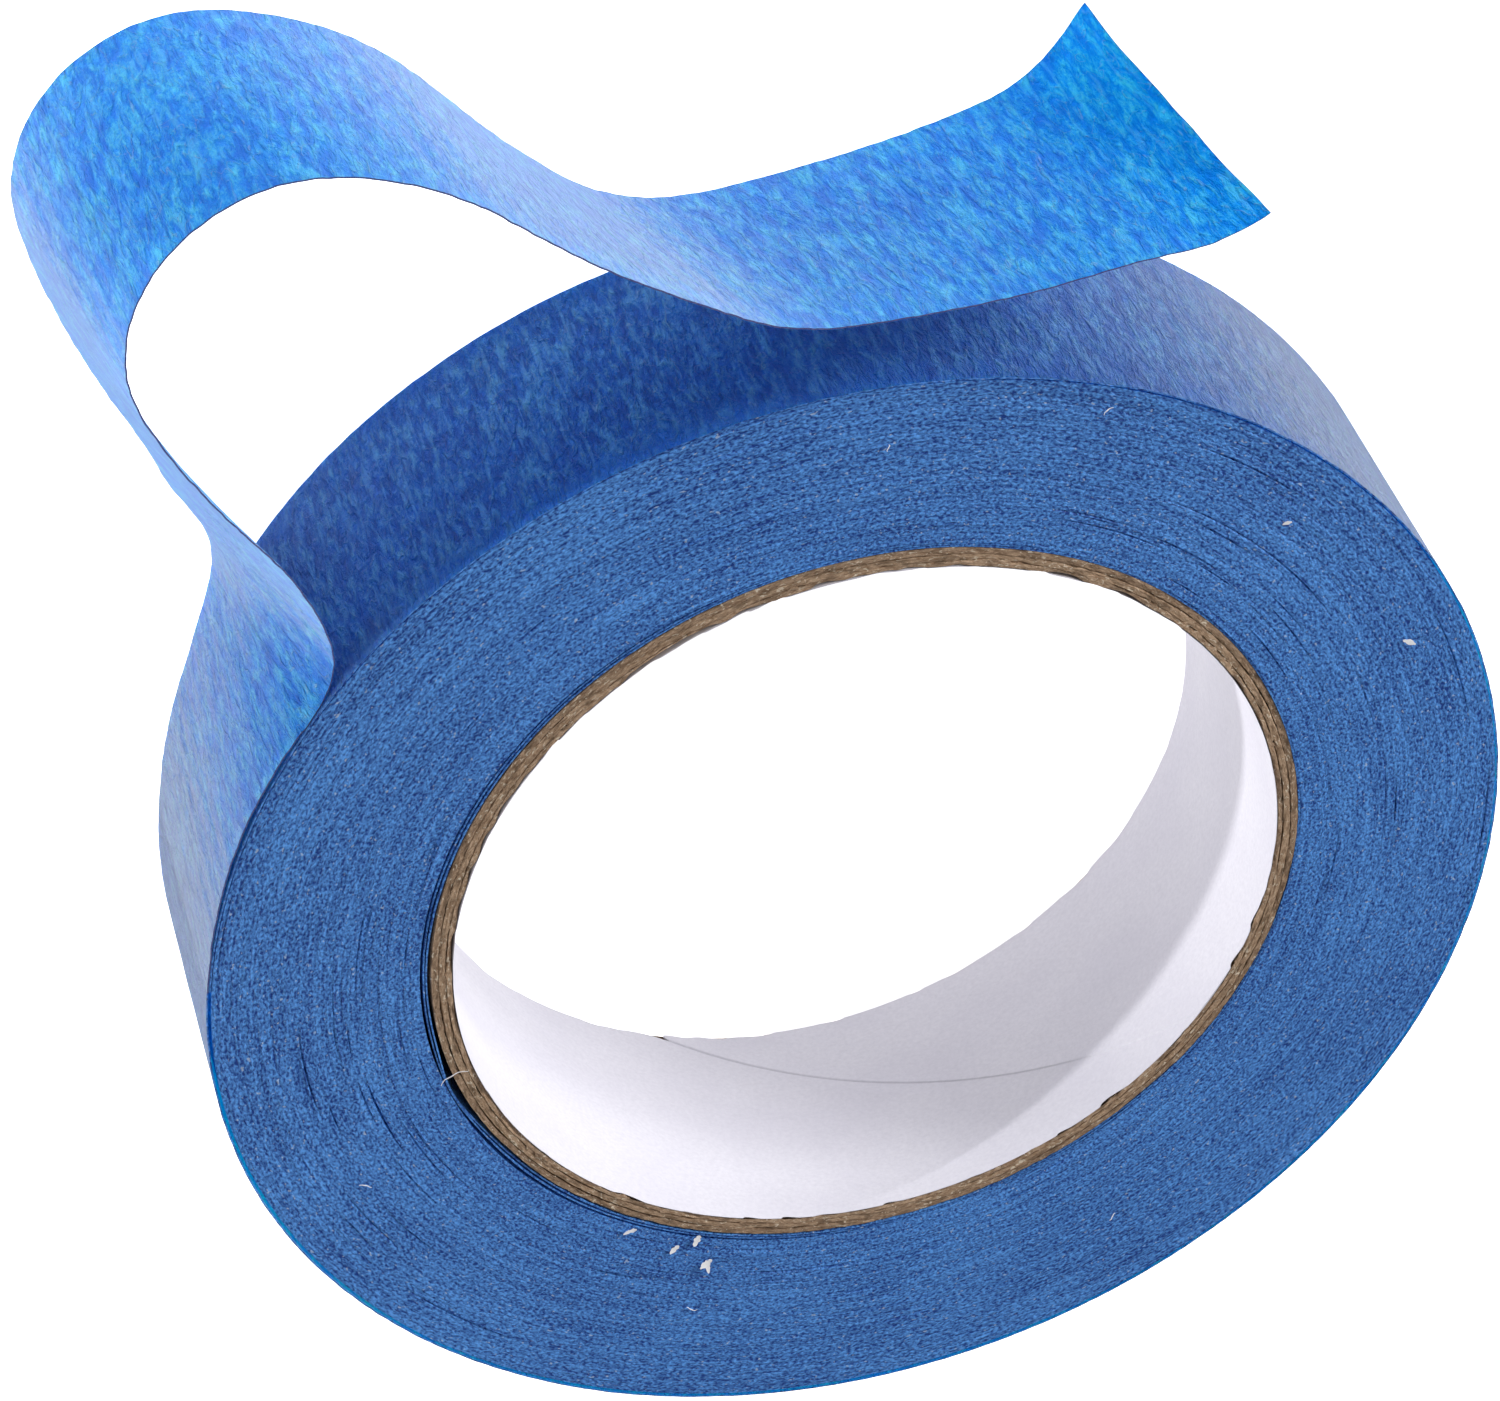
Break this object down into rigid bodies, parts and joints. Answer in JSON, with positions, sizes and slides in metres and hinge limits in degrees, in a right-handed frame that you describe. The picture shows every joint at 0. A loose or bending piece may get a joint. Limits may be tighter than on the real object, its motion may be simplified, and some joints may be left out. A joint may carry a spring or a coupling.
{
  "type": "masking tape roll",
  "caption": "Roll of blue crepe-paper masking tape on a plied cardboard core, with a free end peeled off in a loop.",
  "frame": {"origin": "on the axis of the core's bore, in the side face that the roll rests on", "axes": "+Z along the bore axis to the other side face; the free strip leaves the roll towards -Y"},
  "size_m": [0.12, 0.168, 0.0344],
  "materials": {
    "white_liner_paper": "smooth uncoated white paper",
    "core_board": "grey-brown recycled board, fibrous cut edge",
    "tape_edge": "matte slit edges of many laps of blue crepe paper",
    "tape_backing": "blue crepe paper, fine crosswise wrinkles, faint sheen"
  },
  "bodies": {
    "roll": {"core_liner": "white_liner_paper", "core_inner_ply": "core_board", "core_middle_ply": "core_board", "core_outer_ply": "core_board", "loose_inner_laps": "tape_edge", "wound_tape": "tape_edge"},
    "lap": {"outer_lap": "tape_backing"},
    "lead": {"strip_lead": "tape_backing"},
    "loop": {"strip_loop_rise": "tape_backing", "strip_loop_fall": "tape_backing"},
    "tail": {"strip_tail": "tape_backing"}
  },
  "joints": [
    {"name": "unwind", "type": "hinge", "parent": "roll", "child": "lap", "pos_m": [0.001, 0.002, 0], "axis": [0, 0, 1], "continuous": true},
    {"name": "peel", "type": "hinge", "parent": "lap", "child": "lead", "pos_m": [0.05342, -0.02705, 0], "axis": [0, 0, 1], "range_deg": [0, 90]},
    {"name": "loop_flex", "type": "hinge", "parent": "lead", "child": "loop", "pos_m": [0.0315, -0.06839, 0.01564], "axis": [-0.3275, 0.1952, 0.9245], "range_deg": [-3, 40]},
    {"name": "tail_flex", "type": "hinge", "parent": "loop", "child": "tail", "pos_m": [-0.00225, -0.0879, 0.02003], "axis": [-0.1191, -0.0128, 0.9928], "range_deg": [-6, 30]}
  ]
}
